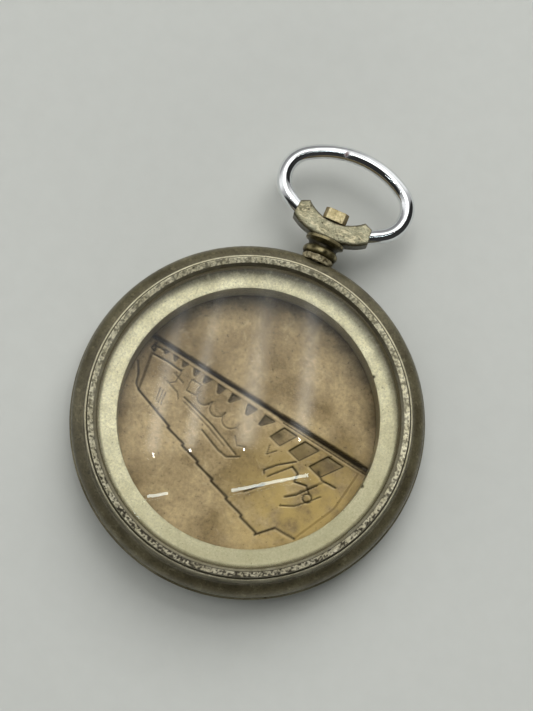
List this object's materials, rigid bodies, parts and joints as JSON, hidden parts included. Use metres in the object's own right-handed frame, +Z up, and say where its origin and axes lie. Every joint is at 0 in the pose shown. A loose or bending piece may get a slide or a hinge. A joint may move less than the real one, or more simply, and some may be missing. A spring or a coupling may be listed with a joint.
{
  "type": "pocket watch case",
  "caption": "Empty open-face pocket watch case with snap back, movement ring, snap bezel, domed crystal and an oval bow on a turning saddle.",
  "frame": {"origin": "on the case's axis, at the flat of the back that it rests on", "axes": "+Z up through the crystal, +Y along the pendant to the bow, +X across the case"},
  "size_m": [0.05, 0.0669, 0.0125],
  "materials": {
    "back_metal": "nickel silver, stamped, tarnished warm brown inside",
    "case_metal": "nickel silver, dark olive tarnish",
    "ring_metal": "pale satin nickel",
    "bezel_metal": "nickel silver, bright but pitted",
    "crystal": "clear domed crystal, lightly scratched",
    "pendant_metal": "nickel silver, dark tarnish",
    "solder": "rough pale solder",
    "post_metal": "worn pale brass",
    "saddle_metal": "nickel silver, worn and pitted",
    "bow_chrome": "polished chromed wire"
  },
  "bodies": {
    "case": {"mid_case": "case_metal", "movement_ring": "ring_metal", "pendant_neck": "pendant_metal", "solder_fillet": "solder"},
    "back": {"back_cover": "back_metal"},
    "bezel_with_crystal": {"bezel": "bezel_metal", "crystal": "crystal"},
    "bow_swivel_group": {"pendant_post": "post_metal", "bow_saddle": "saddle_metal", "bow": "bow_chrome"}
  },
  "joints": [
    {"name": "back_lift", "type": "slide", "parent": "case", "child": "back", "axis": [0, 0, -1], "range_m": [0, 0.015]},
    {"name": "bezel_lift", "type": "slide", "parent": "case", "child": "bezel_with_crystal", "axis": [0, 0, 1], "range_m": [0, 0.02]},
    {"name": "bow_swivel", "type": "hinge", "parent": "case", "child": "bow_swivel_group", "pos_m": [0, 0.0278, 0.0053], "axis": [0, 1, 0], "continuous": true}
  ]
}
